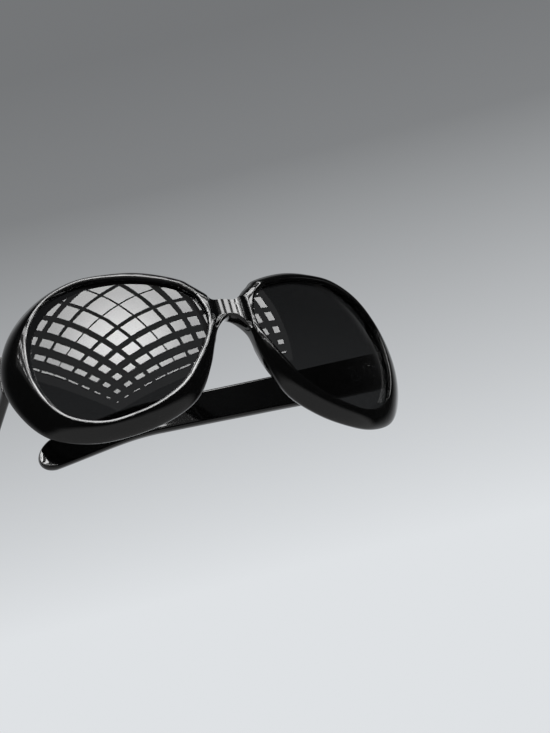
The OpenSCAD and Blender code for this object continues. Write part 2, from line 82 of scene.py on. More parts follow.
class Side(Enum):
    """The two sides of the pair, named as the wearer sees them."""

    RIGHT = "right"
    LEFT = "left"

    @property
    def body(self) -> Body:
        """The body of the temple on this side."""
        return Body.LEFT if self is Side.LEFT else Body.RIGHT


def grey(level: float, tint: float = 0.0) -> tuple[float, float, float, float]:
    """A grey that leans to blue by the tint."""
    return (level * (1 - tint), level, level * (1 + tint), 1.0)


def ease(share: float) -> float:
    """A share from 0 to 1 that starts and ends softly."""
    return share * share * (3 - 2 * share)


class Signal:
    """A socket whose operators add Math nodes to its tree."""

    def __init__(self, shader: Shader, socket: NodeSocket) -> None:
        """Wraps a socket of the shader's tree."""
        self.shader = shader
        self.socket = socket

    def math(self, operation: str, first: Signal | float, second: Signal | float = 0.0) -> Signal:
        """Adds one Math node.

        Args:
            operation: the node's operation.
            first: its first value.
            second: its second value.

        Returns:
            The node's result.
        """
        return self.shader.add("ShaderNodeMath", {"operation": operation}, {0: first, 1: second})

    def __add__(self, other: Signal | float) -> Signal:
        """Sum."""
        return self.math("ADD", self, other)

    def __radd__(self, other: Signal | float) -> Signal:
        """Sum, reflected."""
        return self.math("ADD", other, self)

    def __mul__(self, other: Signal | float) -> Signal:
        """Product."""
        return self.math("MULTIPLY", self, other)

    def __rmul__(self, other: Signal | float) -> Signal:
        """Product, reflected."""
        return self.math("MULTIPLY", other, self)

    def above(self, edge: float, width: float) -> Signal:
        """A soft step.

        Args:
            edge: the value at which the step starts.
            width: how far on it is complete.

        Returns:
            0 below the edge and 1 past its width.
        """
        return self.shader.add(
            "ShaderNodeMapRange",
            {"interpolation_type": "SMOOTHSTEP"},
            {"Value": self, "From Min": edge, "From Max": edge + width},
        )


class Shader:
    """A node tree that is built by calls."""

    def __init__(self, tree: bpy.types.NodeTree) -> None:
        """Starts from an emptied tree."""
        self.tree = tree
        tree.nodes.clear()

    def node(self, kind: str, settings: dict | None = None, inputs: dict | None = None) -> ShaderNode:
        """Adds a node.

        Args:
            kind: the node's type.
            settings: attributes that are set first; "stops" holds a ramp's places and colours.
            inputs: values or signals by the socket's name or number.

        Returns:
            The node.
        """
        made = self.tree.nodes.new(kind)
        for name, value in (settings or {}).items():
            if name == "stops":
                self._set_stops(made.color_ramp, value)
            else:
                setattr(made, name, value)
        for name, value in (inputs or {}).items():
            socket = made.inputs[name]
            if isinstance(value, Signal):
                self.tree.links.new(value.socket, socket)
            else:
                socket.default_value = value
        return made

    def add(
        self, kind: str, settings: dict | None = None, inputs: dict | None = None, out: int | str = 0
    ) -> Signal:
        """Adds a node and returns one of its outputs.

        Args:
            kind: the node's type.
            settings: attributes that are set first.
            inputs: values or signals by the socket's name or number.
            out: the output's name or number.

        Returns:
            The output as a signal.
        """
        return Signal(self, self.node(kind, settings, inputs).outputs[out])

    @staticmethod
    def _set_stops(ramp: bpy.types.ColorRamp, stops: list[tuple[float, tuple]]) -> None:
        """Gives a ramp its stops.

        Args:
            ramp: the ramp.
            stops: places and colours in rising order.
        """
        while len(ramp.elements) < len(stops):
            ramp.elements.new(1.0)
        for element, (place, colour) in zip(ramp.elements, stops):
            element.position = place
            element.color = colour

    def place(self) -> Signal:
        """Object coordinates."""
        return self.add("ShaderNodeTexCoord", out="Object")

    def noise(
        self, scale: float, detail: float = 3.0, stretch: Vector | None = None, seed: float = 0.0
    ) -> Signal:
        """A noise on Object coordinates.

        Args:
            scale: how many features fit in a metre.
            detail: its octaves.
            stretch: scale along each axis, for brushed or drawn marks.
            seed: offset that tells one noise from another.

        Returns:
            The noise, from 0 to 1.
        """
        shift = (seed, seed * 0.7, seed * 1.3)
        centred = self.add(
            "ShaderNodeMapping",
            {},
            {"Vector": self.place(), "Location": shift, "Scale": stretch or Vector((1, 1, 1))},
        )
        return self.add("ShaderNodeTexNoise", {}, {"Vector": centred, "Scale": scale, "Detail": detail})

    def blend(self, share: Signal | float, low: tuple, high: tuple) -> Signal:
        """A mix of two colours.

        Args:
            share: 0 for the first and 1 for the second.
            low: the first colour.
            high: the second colour.

        Returns:
            The mixed colour.
        """
        return self.add("ShaderNodeMix", {"data_type": "RGBA"}, {0: share, 6: low, 7: high}, out=2)

    def bump(self, height: Signal, strength: float, depth: float) -> Signal:
        """A bumped normal.

        Args:
            height: the height, from 0 to 1.
            strength: how much of it shows.
            depth: the height of 1 in metres.

        Returns:
            The normal.
        """
        return self.add("ShaderNodeBump", {}, {"Height": height, "Strength": strength, "Distance": depth})


@dataclass(frozen=True)
class Finish:
    """A surface finish, which makes its material once.

    Attributes:
        name: the material's name.
        slot: the slot of the part; not used.
    """

    name: str
    slot: Slot

    def dress(self, shader: Shader) -> dict:
        """The inputs of the main shader.

        Args:
            shader: the material's tree.

        Returns:
            Values or signals by the name of the socket.
        """
        raise NotImplementedError

    def material(self) -> Material:
        """The finish as a material.

        Returns:
            The material, made at the first call.
        """
        found = bpy.data.materials.get(self.name)
        if found:
            return found
        made = bpy.data.materials.new(self.name)
        made.use_nodes = True
        shader = Shader(made.node_tree)
        surface = shader.add("ShaderNodeBsdfPrincipled", {}, self.dress(shader))
        shader.node("ShaderNodeOutputMaterial", {}, {"Surface": surface})
        return made


@dataclass(frozen=True)
class PolishedAcetate(Finish):
    """Cellulose acetate, tumbled to a deep gloss, with the faint haze and hairlines of handling.

    Attributes:
        tone: the black's mean grey.
        tint: how much it leans to blue.
        mottle_shares: the least and the most of the tone.
        mottle_scale: mottles in a metre.
        roughness: that of clean, polished plastic.
        haze: what handling adds to it.
        haze_scale: hazy patches in a metre.
        scratch: what a hairline adds to it.
        hairline_scale: hairlines in a metre, before they are drawn out.
        hairline_run: how closely they lie along each axis.
        peel_scale: waves of the surface in a metre.
        peel_depth: the height of a wave.
        peel_strength: how much of it shows.
        coat: the weight of the polish's own gloss.
        coat_roughness: the roughness of that gloss.
    """

    name: str = "polished_acetate"
    slot: Slot = Slot.ACETATE
    tone: float = 0.0045
    tint: float = 0.03
    mottle_shares: tuple[float, float] = (0.7, 1.3)
    mottle_scale: float = 60.0
    roughness: float = 0.045
    haze: float = 0.05
    haze_scale: float = 33.0
    scratch: float = 0.05
    hairline_scale: float = 90.0
    hairline_run: tuple[float, float, float] = (1.0, 6.0, 34.0)
    peel_scale: float = 210.0
    peel_depth: float = 0.02 * MM
    peel_strength: float = 0.25
    coat: float = 0.35
    coat_roughness: float = 0.02

    def dress(self, shader: Shader) -> dict:
        """The inputs of the main shader.

        Args:
            shader: the material's tree.

        Returns:
            Values or signals by the name of the socket.
        """
        mottle = shader.noise(self.mottle_scale, detail=4.0)
        haze = shader.noise(self.haze_scale, detail=5.0, seed=3.1).above(edge=0.48, width=0.3)
        rubbed = shader.noise(self.hairline_scale, detail=2.0, stretch=Vector(self.hairline_run), seed=7.7)
        hairlines = rubbed.above(edge=0.66, width=0.06)
        peel = shader.noise(self.peel_scale, detail=1.5, seed=1.9)
        low, high = (grey(self.tone * share, self.tint) for share in self.mottle_shares)
        return {
            "Base Color": shader.blend(mottle, low, high),
            "Roughness": self.roughness + haze * self.haze + hairlines * self.scratch,
            "IOR": POLYMER_IOR,
            "Normal": shader.bump(peel, self.peel_strength, self.peel_depth),
            "Coat Weight": self.coat,
            "Coat Roughness": self.coat_roughness,
        }


@dataclass(frozen=True)
class TintedLens(Finish):
    """A neutral sun lens: clear polymer with an even grey tint, a shade deeper at its top.

    Attributes:
        tone: the grey of the tint at the lens's foot.
        tint: how much it leans to blue.
        top_share: what is left of the tone at the top.
        fade_from: the height from which it deepens.
        fade_over: how much higher it is at its deepest.
    """

    name: str = "tinted_polymer"
    slot: Slot = Slot.LENS
    tone: float = 0.03
    tint: float = 0.015
    top_share: float = 0.8
    fade_from: float = 20.0 * MM
    fade_over: float = 30.0 * MM

    def dress(self, shader: Shader) -> dict:
        """The inputs of the main shader.

        Args:
            shader: the material's tree.

        Returns:
            Values or signals by the name of the socket.
        """
        height = shader.add("ShaderNodeSeparateXYZ", {}, {0: shader.place()}, out="Z")
        fade = height.above(self.fade_from, self.fade_over)
        foot, top = grey(self.tone, self.tint), grey(self.tone * self.top_share, self.tint)
        return {
            "Base Color": shader.blend(fade, foot, top),
            "Roughness": 0.0,
            "IOR": POLYMER_IOR,
            "Transmission Weight": 1.0,
        }


@dataclass(frozen=True)
class PadPlastic(Finish):
    """The same black plastic where skin has dulled it a little.

    Attributes:
        tone: the plastic's grey.
        worn_share: how many times as light a worn place is.
        roughness: that of an unworn place.
        worn_roughness: what wear adds to it.
        wear_scale: worn patches in a metre.
        grain_scale: grains in a metre.
        grain_depth: the height of a grain.
        grain_strength: how much of it shows.
    """

    name: str = "satin_pad_plastic"
    slot: Slot = Slot.PAD
    tone: float = 0.007
    worn_share: float = 1.8
    roughness: float = 0.16
    worn_roughness: float = 0.12
    wear_scale: float = 140.0
    grain_scale: float = 900.0
    grain_depth: float = 0.02 * MM
    grain_strength: float = 0.2

    def dress(self, shader: Shader) -> dict:
        """The inputs of the main shader.

        Args:
            shader: the material's tree.

        Returns:
            Values or signals by the name of the socket.
        """
        grain = shader.noise(self.grain_scale, detail=3.0)
        wear = shader.noise(self.wear_scale, detail=4.0, seed=2.0).above(edge=0.45, width=0.25)
        return {
            "Base Color": shader.blend(wear, grey(self.tone), grey(self.tone * self.worn_share)),
            "Roughness": self.roughness + wear * self.worn_roughness,
            "IOR": POLYMER_IOR,
            "Normal": shader.bump(grain, self.grain_strength, self.grain_depth),
        }


@dataclass(frozen=True)
class Steel(Finish):
    """Brushed metal, whose marks run along one axis.

    Attributes:
        tone: the metal's grey.
        roughness: its roughness between the marks.
        brush: how closely the marks lie along each axis.
        stain: how much darker a stain is.
        stain_shares: how much of that shows in red, green and blue.
        stain_scale: stains in a metre.
        tint: how much clean metal leans to blue.
        mark_scale: marks in a metre, before they are drawn out.
        mark_roughness: what a mark adds to the roughness.
        mark_depth: the depth of a mark.
        mark_strength: how much of it shows.
    """

    name: str = "nickel_silver"
    slot: Slot = Slot.HINGE
    tone: float = 0.6
    roughness: float = 0.2
    brush: tuple[float, float, float] = (40.0, 40.0, 1.0)
    stain: float = 0.15
    stain_shares: tuple[float, float, float] = (1.0, 1.0, 1.3)
    stain_scale: float = 500.0
    tint: float = 0.01
    mark_scale: float = 120.0
    mark_roughness: float = 0.14
    mark_depth: float = 0.01 * MM
    mark_strength: float = 0.15

    def dress(self, shader: Shader) -> dict:
        """The inputs of the main shader.

        Args:
            shader: the material's tree.

        Returns:
            Values or signals by the name of the socket.
        """
        marks = shader.noise(self.mark_scale, detail=2.0, stretch=Vector(self.brush))
        stain = shader.noise(self.stain_scale, detail=5.0, seed=4.4).above(edge=0.42, width=0.3)
        dull = (*(self.tone * (1 - share * self.stain) for share in self.stain_shares), 1.0)
        return {
            "Base Color": shader.blend(stain, grey(self.tone, self.tint), dull),
            "Metallic": 1.0,
            "Roughness": self.roughness + marks * self.mark_roughness,
            "Normal": shader.bump(marks, self.mark_strength, self.mark_depth),
        }


ACETATE = PolishedAcetate()
LENS = TintedLens()
PAD = PadPlastic()
NICKEL = Steel()
PLATED = Steel(
    "plated_screw_steel", Slot.SCREW, tone=0.5, roughness=0.24, brush=(1.0, 40.0, 40.0), stain=0.2
)
SPRING = Steel(
    "drawn_core_steel", Slot.CORE, tone=0.55, roughness=0.3, brush=(30.0, 1.0, 30.0), stain=0.1
)


class MeshWork:
    """Steps that the classes of pieces share."""

    weld = 0.002 * MM

    @classmethod
    def copy_of(cls, node: str) -> bmesh.types.BMesh:
        """A merged copy of a node's mesh.

        Args:
            node: the node's name.

        Returns:
            The copy, with its doubles merged and nothing but its shape.
        """
        shape = bmesh.new()
        shape.from_mesh(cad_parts[node].data)
        bmesh.ops.remove_doubles(shape, verts=shape.verts, dist=cls.weld)
        return shape

    @staticmethod
    def quads(shape: bmesh.types.BMesh, flat: float, square: float) -> None:
        """Joins pairs of triangles to four-sided faces.

        Args:
            shape: the mesh.
            flat: the largest angle between the two, in degrees.
            square: how far a corner may be from square, in degrees.
        """
        bmesh.ops.join_triangles(
            shape,
            faces=shape.faces,
            angle_face_threshold=math.radians(flat),
            angle_shape_threshold=math.radians(square),
        )

    @staticmethod
    def crease(shape: bmesh.types.BMesh, sharp: float, weight: float) -> None:
        """Creases the edges where two faces meet sharply.

        Args:
            shape: the mesh.
            sharp: the least angle, in degrees.
            weight: the crease's weight.
        """
        layers = shape.edges.layers.float
        layer = layers.get("crease_edge") or layers.new("crease_edge")
        for edge in shape.edges:
            if edge.calc_face_angle(0.0) > math.radians(sharp):
                edge[layer] = weight

    @staticmethod
    def to_object(shape: bmesh.types.BMesh, name: str, finish: Finish) -> Object:
        """Turns a mesh into a piece with smooth faces.

        Args:
            shape: the mesh, which is freed.
            name: the piece's name.
            finish: its finish.

        Returns:
            The object, at the origin.
        """
        data = bpy.data.meshes.new(name)
        for face in shape.faces:
            face.smooth = True
            face.material_index = 0
        shape.to_mesh(data)
        shape.free()
        for attribute in ("custom_normal", "sharp_face"):
            if attribute in data.attributes:
                data.attributes.remove(data.attributes[attribute])
        data.materials.append(finish.material())
        made = bpy.data.objects.new(name, data)
        bpy.context.scene.collection.objects.link(made)
        return made

    @staticmethod
    def subdivide(piece: Object, levels: int) -> None:
        """Adds a Subdivision Surface modifier.

        Args:
            piece: the piece.
            levels: its levels, in the viewport and the render.
        """
        modifier = piece.modifiers.new("smooth", "SUBSURF")
        modifier.levels = levels
        modifier.render_levels = levels
        modifier.boundary_smooth = "PRESERVE_CORNERS"

    @staticmethod
    def settle(piece: Object, body: Body, finish: Finish, *nodes: str) -> None:
        """Ties a piece to its body and the nodes that it stands for.

        Args:
            piece: the piece.
            body: the body that it rides on.
            finish: not used.
            nodes: the nodes that it replaces.
        """
        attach(piece, body.value)
        if nodes:
            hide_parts(*nodes)
        faces = len(piece.data.polygons)
        log.info("%s rides on %s, %d faces before its modifiers", piece.name, body.value, faces)


@dataclass(frozen=True)
class Saddle:
    """The upright valley in the bridge's front, between the two rims and over the nose arch.

    Attributes:
        depth: how far its floor lies behind the bridge's face.
        bowl: the radius of the floor's curve across.
        foot: half the width of the floor, where the walls start.
        slope: how far a wall rises for each step aside.
        fillet: how softly the floor turns into a wall.
        brink: how softly a wall ends in the front's own surface.
        face: where the bridge's face lies at its waist, along Y.
        waist: the height at which the face is measured.
        lean: how far the floor leans back for each step up.
        arch_top: the height of the nose arch's ridge in the middle.
        arch_fall: how far the ridge falls at arch_half from the middle.
        arch_half: half the width of the arch.
        arch_steep: the power with which the ridge falls.
        rise: the height above the ridge at which the valley has its full depth.
        top_lift: how far the middle of the bridge's top is lifted.
        top_half: half the width in which the top moves.
        top_from: the height from which the top moves.
        top_rise: how much higher it moves in full.
        reach: half the width in which the mesh is made finer.
        top: the height up to which anything changes.
        cuts: how often an edge in reach is cut.
    """

    depth: float = 3.7 * MM
    bowl: float = 35.0 * MM
    foot: float = 5.4 * MM
    slope: float = 1.25
    fillet: float = 0.5 * MM
    brink: float = 0.15 * MM
    face: float = -85.62 * MM
    waist: float = 43.0 * MM
    lean: float = 0.05
    arch_top: float = 41.1 * MM
    arch_fall: float = 4.4 * MM
    arch_half: float = 5.7 * MM
    arch_steep: float = 2.6
    rise: float = 2.0 * MM
    top_lift: float = 0.9 * MM
    top_half: float = 8.4 * MM
    top_from: float = 45.0 * MM
    top_rise: float = 3.0 * MM
    reach: float = 9.0 * MM
    top: float = 52.0 * MM
    cuts: int = 2

    def carve(self, shape: bmesh.types.BMesh) -> None:
        """Hollows the front of the bridge.

        Args:
            shape: the front's mesh.
        """
        near = dict.fromkeys(
            edge
            for face in shape.faces
            if face.normal.y < 0 and self._covers(face.calc_center_median())
            for edge in face.edges
        )
        bmesh.ops.subdivide_edges(shape, edges=list(near), cuts=self.cuts, use_grid_fill=True)
        moved = 0
        for corner in shape.verts:
            corner.co.z += self.level(corner.co)
            move = self.hollow(corner.co)
            corner.co.y += move
            moved += move > 0
        log.info("the saddle of the bridge has %d corners", moved)

    def level(self, place: Vector) -> float:
        """How far a place is lifted or lowered, so that the bridge's top runs level.

        Args:
            place: the place.

        Returns:
            The move along z.
        """
        aside = abs(place.x)
        if aside > self.top_half or place.z < self.top_from or place.z > self.top:
            return 0.0
        share = min(1.0, (place.z - self.top_from) / self.top_rise)
        if aside < self.foot:
            wave = math.cos(math.pi * aside / self.foot)
        else:
            wave = -0.5 - 0.5 * math.cos(math.pi * (aside - self.foot) / (self.top_half - self.foot))
        return self.top_lift * wave * ease(share)

    def _covers(self, place: Vector) -> bool:
        """Whether a place is in the valley's reach."""
        return abs(place.x) < self.reach and self.arch_top - self.arch_fall < place.z < self.top

    def hollow(self, place: Vector) -> float:
        """How far the valley moves a place of the surface back.

        Args:
            place: the place.

        Returns:
            The move along y.
        """
        aside = abs(place.x)
        ridge = self.arch_top - self.arch_fall * (aside / self.arch_half) ** self.arch_steep
        above = min(1.0, (place.z - ridge) / self.rise)
        past = aside - self.foot
        wall = self.slope * (past + math.hypot(past, self.fillet)) / 2
        bulge = aside**2 / (2 * self.bowl)
        floor = self.face + self.lean * (place.z - self.waist) + self.depth - bulge - wall
        over = floor - place.y
        if above < 0 or over < -self.brink:
            return 0.0
        if over < self.brink:
            over = (over + self.brink) ** 2 / (4 * self.brink)
        return over * ease(above)


@dataclass
class MouldedShell(MeshWork):
    """A moulded and tumbled piece: a copy of its node with smooth surfaces and softened edges.

    Attributes:
        node: the node that it stands for.
        piece: its own name.
        body: the body that it rides on.
        finish: its finish.
        levels: how often its faces are divided.
        sharp: the least angle of an edge that is creased, in degrees.
        crease_weight: how sharp such an edge stays, from 0 to 1.
        flat: the largest angle at which two triangles are joined, in degrees.
        square: how far from square the joined face may be, in degrees.
        rounds: how often the cage is moved.
        pull: the share of the gap that one round closes.
        reach: the farthest that one round moves a corner.
        saddle: the valley that is carved in it, if any.
    """

    node: str
    piece: str
    body: Body
    finish: Finish = ACETATE
    levels: int = 2
    sharp: float = 50.0
    crease_weight: float = 1.0
    flat: float = 35.0
    square: float = 60.0
    rounds: int = 2
    pull: float = 0.6
    reach: float = 0.06 * MM
    saddle: Saddle | None = None

    def build(self) -> Object:
        """Builds and dresses the piece.

        Returns:
            The piece.
        """
        shape = self.copy_of(self.node)
        self.quads(shape, self.flat, self.square)
        self.crease(shape, self.sharp, self.crease_weight)
        made = self.to_object(shape, self.piece, self.finish)
        self.subdivide(made, self.levels)
        self._meet_corners(made)
        if self.saddle:
            self._hollow(made)
        self.settle(made, self.body, self.finish, self.node)
        return made

    def _hollow(self, piece: Object) -> None:
        """Turns the first step of the smoothing into the piece's own mesh and carves the saddle in it.

        Args:
            piece: the piece, with its modifier.
        """
        modifier = piece.modifiers[0]
        modifier.levels = modifier.render_levels = 1
        shape = bmesh.new()
        shape.from_mesh(piece.evaluated_get(bpy.context.evaluated_depsgraph_get()).data)
        shape.normal_update()
        self.saddle.carve(shape)
        self.crease(shape, self.sharp, self.crease_weight)
        shape.to_mesh(piece.data)
        shape.free()
        modifier.levels = modifier.render_levels = self.levels - 1

    def _meet_corners(self, piece: Object) -> None:
        """Moves the cage until the smooth surface passes near its first corners.

        Args:
            piece: the piece, with its modifier.
        """
        count = len(piece.data.vertices)
        aim = np.empty(count * 3)
        piece.data.vertices.foreach_get("co", aim)
        cage = aim.copy()
        corners = aim.reshape(-1, 3)
        low, high = np.tile(corners.min(axis=0), count), np.tile(corners.max(axis=0), count)
        for _ in range(self.rounds):
            smooth = piece.evaluated_get(bpy.context.evaluated_depsgraph_get()).data
            reached = np.empty(len(smooth.vertices) * 3)
            smooth.vertices.foreach_get("co", reached)
            cage += np.clip((aim - reached[: count * 3]) * self.pull, -self.reach, self.reach)
            cage = np.clip(cage, low, high)
            piece.data.vertices.foreach_set("co", cage)
            piece.data.update()


@dataclass(frozen=True)
class Ball:
    """A ball that bulges forwards, towards -Y.

    Attributes:
        centre: its centre.
        radius: its radius.
    """

    centre: Vector
    radius: float

    @classmethod
    def through(cls, places: list[Vector]) -> Ball:
        """Lays a ball through some places.

        Args:
            places: the places.

        Returns:
            The ball with the least squared error.
        """
        terms = np.array([[2 * p.x, 2 * p.y, 2 * p.z, 1.0] for p in places])
        found = np.linalg.lstsq(terms, np.array([p.length_squared for p in places]), rcond=None)[0]
        centre = Vector(found[:3])
        return cls(centre, math.sqrt(found[3] + centre.length_squared))

    def depth(self, place: Vector) -> float:
        """Where the ball's front lies at a place.

        Args:
            place: the place, of which x and z count.

        Returns:
            Its y.
        """
        aside = place.x - self.centre.x
        above = place.z - self.centre.z
        return self.centre.y - math.sqrt(self.radius**2 - aside**2 - above**2)


@dataclass
class SunLens(MeshWork):
    """A lens whose two faces are laid on true balls, for a clean reflection.

    Attributes:
        side: its side of the pair.
        flat: the largest angle at which two triangles are joined, in degrees.
        square: how far from square the joined face may be, in degrees.
        sharp: the least angle of an edge that is shaded as sharp, in degrees.
        cuts: how often each edge is cut.
        facing: how squarely a face looks forwards or back to be laid on a ball.
        near: the farthest that a corner is moved for that.
    """

    side: Side
    flat: float = 20.0
    square: float = 70.0
    sharp: float = 35.0
    cuts: int = 3
    facing: float = 0.5
    near: float = 0.6 * MM

    def build(self) -> Object:
        """Builds and dresses the lens.

        Returns:
            The piece.
        """
        node = f"{self.side.value}_lens"
        shape = self.copy_of(node)
        self.quads(shape, self.flat, self.square)
        balls = {sign: Ball.through([corner.co for corner in self._sheet(shape, sign)]) for sign in (-1, 1)}
        bmesh.ops.subdivide_edges(shape, edges=shape.edges, cuts=self.cuts, use_grid_fill=True)
        for sign, ball in balls.items():
            for corner in self._sheet(shape, sign):
                depth = ball.depth(corner.co)
                if abs(depth - corner.co.y) < self.near:
                    corner.co.y = depth
        for edge in shape.edges:
            edge.smooth = edge.calc_face_angle(0.0) < math.radians(self.sharp)
        made = self.to_object(shape, f"{node}_blank", LENS)
        self.settle(made, Body.FRONT, LENS, node)
        return made

    def _sheet(self, shape: bmesh.types.BMesh, sign: int) -> list[bmesh.types.BMVert]:
        """The corners of one face of the lens.

        Args:
            shape: the lens's mesh.
            sign: -1 for the front face and 1 for the back one.

        Returns:
            Each corner once.
        """
        shape.normal_update()
        sheet = (face for face in shape.faces if face.normal.y * sign > self.facing)
        return list(dict.fromkeys(corner for face in sheet for corner in face.verts))


@dataclass
class Hardware(MeshWork):
    """A turned or stamped metal piece, whose edges are broken as in the tumbler.

    Attributes:
        node: the node that it stands for.
        body: the body that it rides on.
        finish: its finish.
        edge_break: the width of a broken edge.
        flat: the largest angle at which two faces become one, in degrees.
        sharp: the least angle of an edge that is broken, in degrees.
    """

    node: str
    body: Body
    finish: Finish
    edge_break: float = 0.07 * MM
    flat: float = 1.0
    sharp: float = 35.0

    def build(self) -> Object:
        """Builds and dresses the piece.

        Returns:
            The piece.
        """
        shape = self.copy_of(self.node)
        bmesh.ops.dissolve_limit(
            shape,
            angle_limit=math.radians(self.flat),
            verts=shape.verts,
            edges=shape.edges,
            use_dissolve_boundaries=False,
        )
        rims = [edge for edge in shape.edges if edge.calc_face_angle(0.0) > math.radians(self.sharp)]
        bmesh.ops.bevel(
            shape,
            geom=rims,
            offset=self.edge_break,
            offset_type="OFFSET",
            affect="EDGES",
            segments=2,
            profile=0.5,
            clamp_overlap=True,
            material=-1,
        )
        for edge in shape.edges:
            edge.smooth = edge.calc_face_angle(0.0) < math.radians(self.sharp)
        made = self.to_object(shape, f"{self.node}_metal", self.finish)
        self.settle(made, self.body, self.finish, self.node)
        return made


@dataclass
class Front:
    """The moulded front with its two lenses and nose pads.

    Attributes:
        pieces: what has been built.
    """

    pieces: list[Object] = field(default_factory=list)

    def build(self) -> None:
        """Builds the front and what it carries."""
        shell = MouldedShell("front_frame", "front_shell", Body.FRONT, sharp=32.0, saddle=Saddle())
        self.pieces.append(shell.build())
        for side in Side:
            self.pieces.append(SunLens(side).build())
            node = f"{side.value}_nose_pad"
            self.pieces.append(MouldedShell(node, f"{node}_dome", Body.FRONT, PAD, sharp=75.0).build())


@dataclass
class TempleArm:
    """A temple with its core wire and its half of the hinge.

    Attributes:
        side: its side of the pair.
        pieces: what has been built, besides the wire.
    """

    side: Side
    pieces: list[Object] = field(default_factory=list)

    def build(self) -> None:
        """Builds the temple and what it carries."""
        name = f"{self.side.value}_temple"
        self.pieces.append(MouldedShell(name, f"{name}_blade", self.side.body).build())
        self.pieces.append(Hardware(f"{name}_hinge", self.side.body, NICKEL).build())
        self.pieces.append(Hardware(f"{name}_leaf_screws", self.side.body, PLATED, FIXING_EDGE).build())
        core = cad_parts[f"{self.side.value}_core_wire"]
        core.data.materials.clear()
        core.data.materials.append(SPRING.material())


@dataclass
class HingeSet:
    """The front's half of a hinge, with its screws.

    Attributes:
        side: its side of the pair.
        pieces: what has been built.
    """

    side: Side
    pieces: list[Object] = field(default_factory=list)

    def build(self) -> None:
        """Builds the leaf, its fixing screws and the screw that is the pin."""
        name = self.side.value
        self.pieces.append(Hardware(f"{name}_front_hinge", Body.FRONT, NICKEL).build())
        self.pieces.append(Hardware(f"{name}_front_leaf_screws", Body.FRONT, PLATED, FIXING_EDGE).build())
        self.pieces.append(Hardware(f"{name}_hinge_screw", Body.FRONT, PLATED, PIN_EDGE).build())


@dataclass(frozen=True)
class Softbox:
    """A soft studio light.

    Attributes:
        name: its name.
        place: where it stands.
        size: its width and its height.
        radiance: how bright its face is.
        aim: the place that it looks at.
        glossy: whether gloss shows it.
    """

    name: str
    place: tuple[float, float, float]
    size: tuple[float, float]
    radiance: float
    aim: tuple[float, float, float] = (0.0, 0.0, 0.03)
    glossy: bool = True

    def build(self) -> None:
        """Adds the light to the scene."""
        data = bpy.data.lights.new(self.name, "AREA")
        data.shape = "RECTANGLE"
        data.size, data.size_y = self.size
        data.energy = self.radiance * math.pi * self.size[0] * self.size[1]
        made = bpy.data.objects.new(self.name, data)
        made.location = self.place
        towards = Vector(self.aim) - Vector(self.place)
        made.rotation_euler = towards.to_track_quat("-Z", "Y").to_euler()
        made.visible_glossy = self.glossy
        made.visible_transmission = False
        bpy.context.scene.collection.objects.link(made)


